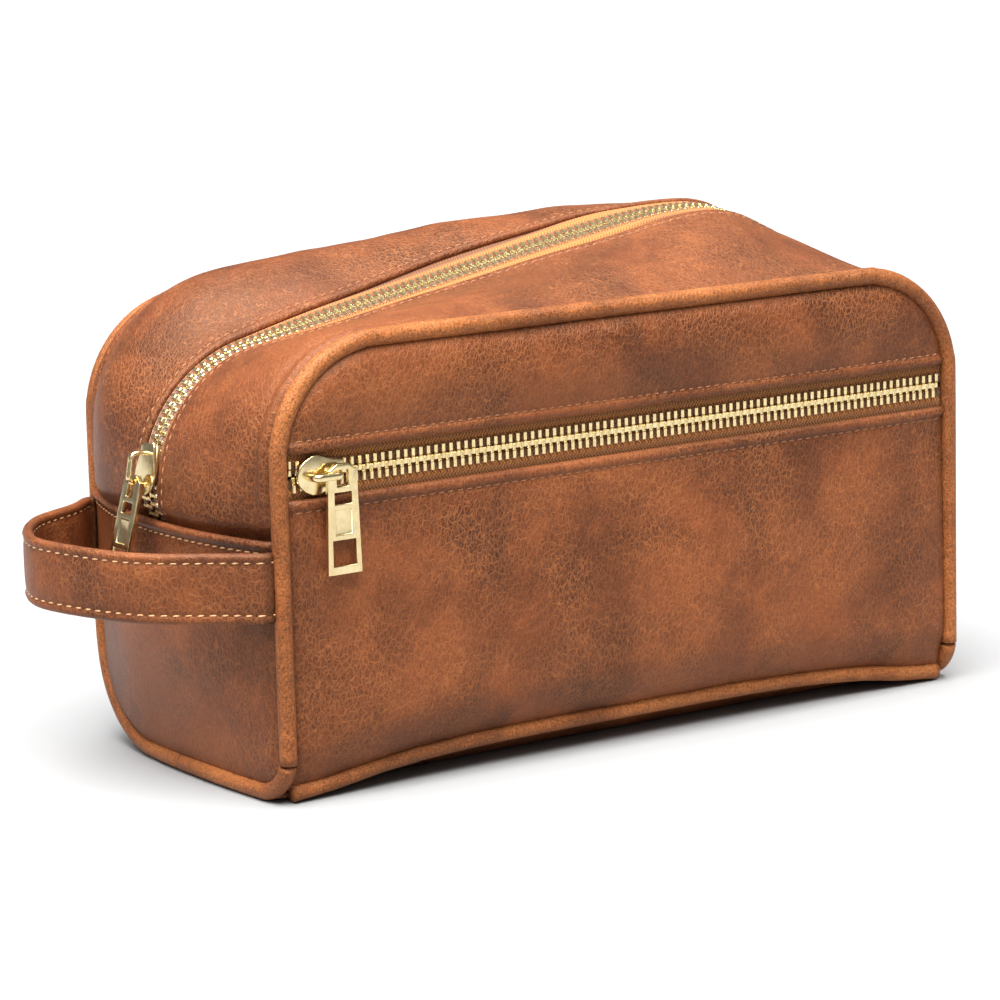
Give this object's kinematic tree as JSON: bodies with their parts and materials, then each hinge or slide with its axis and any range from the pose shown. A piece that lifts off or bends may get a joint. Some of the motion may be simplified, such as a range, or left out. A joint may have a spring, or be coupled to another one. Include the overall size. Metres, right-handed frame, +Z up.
{
  "type": "shaving kit bag",
  "caption": "Soft leather shaving kit bag with a domed zipped top, a zipped front pocket, piped seams and a side strap handle.",
  "frame": {"origin": "on the floor, under the middle of the bag's length and halfway between the front and back piping", "axes": "+X towards the end without the handle, -Y towards the front pocket, +Z up"},
  "size_m": [0.3235, 0.1311, 0.1649],
  "materials": {
    "leather": "satin, mottled, crinkle grain",
    "piping_leather": "satin, plain",
    "main_zip_tape": "woven herringbone, matt",
    "front_zip_tape": "woven herringbone, matt",
    "zip_metal": "polished pale gold",
    "slider_metal": "polished pale gold",
    "lining_cloth": "plain weave, matt",
    "stiffener_board": "matt"
  },
  "bodies": {
    "bag": {"front_upper_panel": "leather", "front_pocket_panel_left": "leather", "front_pocket_panel_right": "leather", "back_panel": "leather", "base_panel": "leather", "end_panel_left": "leather", "end_panel_right": "leather", "handle_sewn_end_front": "leather", "handle_sewn_end_back": "leather", "gusset_front_left": "leather", "gusset_front_right": "leather", "gusset_back_left": "leather", "gusset_back_right": "leather", "piping_front": "piping_leather", "piping_back": "piping_leather", "piping_bottom_front": "piping_leather", "piping_bottom_back": "piping_leather", "main_tape_front_left": "main_zip_tape", "main_tape_front_right": "main_zip_tape", "main_tape_back_left": "main_zip_tape", "main_tape_back_right": "main_zip_tape", "front_tape_upper": "front_zip_tape", "front_tape_lower_left": "front_zip_tape", "front_tape_lower_right": "front_zip_tape", "main_teeth_front_left": "zip_metal", "main_teeth_front_right": "zip_metal", "main_teeth_back_left": "zip_metal", "main_teeth_back_right": "zip_metal", "front_teeth_upper": "zip_metal", "front_teeth_lower_left": "zip_metal", "front_teeth_lower_right": "zip_metal", "lining": "lining_cloth", "pocket_lining": "lining_cloth", "base_board": "stiffener_board"},
    "mouth_front": {"gusset_front_mouth": "leather", "main_tape_front_mouth": "main_zip_tape", "main_teeth_front_mouth": "zip_metal"},
    "mouth_back": {"gusset_back_mouth": "leather", "main_tape_back_mouth": "main_zip_tape", "main_teeth_back_mouth": "zip_metal"},
    "pocket_mouth": {"front_pocket_panel_mouth": "leather", "front_tape_lower_mouth": "front_zip_tape", "front_teeth_lower_mouth": "zip_metal"},
    "main_slider": {"main_slider_body": "slider_metal", "main_slider_bail": "slider_metal"},
    "main_pull": {"main_pull_tab": "slider_metal"},
    "pocket_slider": {"front_slider_body": "slider_metal", "front_slider_bail": "slider_metal"},
    "pocket_pull": {"front_pull_tab": "slider_metal"},
    "handle": {"handle_outer_strap": "leather", "handle_inner_strap": "leather"}
  },
  "joints": [
    {"name": "mouth_front_open", "type": "hinge", "parent": "bag", "child": "mouth_front", "pos_m": [0, -0.059, 0.1415], "axis": [1, 0, 0], "range_deg": [0, 38]},
    {"name": "mouth_back_open", "type": "hinge", "parent": "bag", "child": "mouth_back", "pos_m": [0, 0.059, 0.1415], "axis": [-1, 0, 0], "range_deg": [0, 38]},
    {"name": "pocket_open", "type": "hinge", "parent": "bag", "child": "pocket_mouth", "pos_m": [0, -0.0551, 0.0098], "axis": [1, 0, 0], "range_deg": [0, 7]},
    {"name": "main_slider_travel", "type": "hinge", "parent": "bag", "child": "main_slider", "pos_m": [-0.097, 0, 0.09], "axis": [0, 1, 0], "range_deg": [0, 58]},
    {"name": "main_pull_swing", "type": "hinge", "parent": "main_slider", "child": "main_pull", "pos_m": [-0.14681, 0, 0.09604], "axis": [0, 1, 0], "range_deg": [0, 120]},
    {"name": "pocket_slider_slide", "type": "slide", "parent": "bag", "child": "pocket_slider", "axis": [1, 0, 0], "range_m": [0, 0.229]},
    {"name": "pocket_pull_swing", "type": "hinge", "parent": "pocket_slider", "child": "pocket_pull", "pos_m": [-0.1107, -0.0645, 0.102], "axis": [0, 1, 0], "range_deg": [-60, 40]},
    {"name": "handle_swing", "type": "hinge", "parent": "bag", "child": "handle", "pos_m": [-0.1365, 0, 0.069], "axis": [0, 1, 0], "range_deg": [-25, 20]}
  ]
}
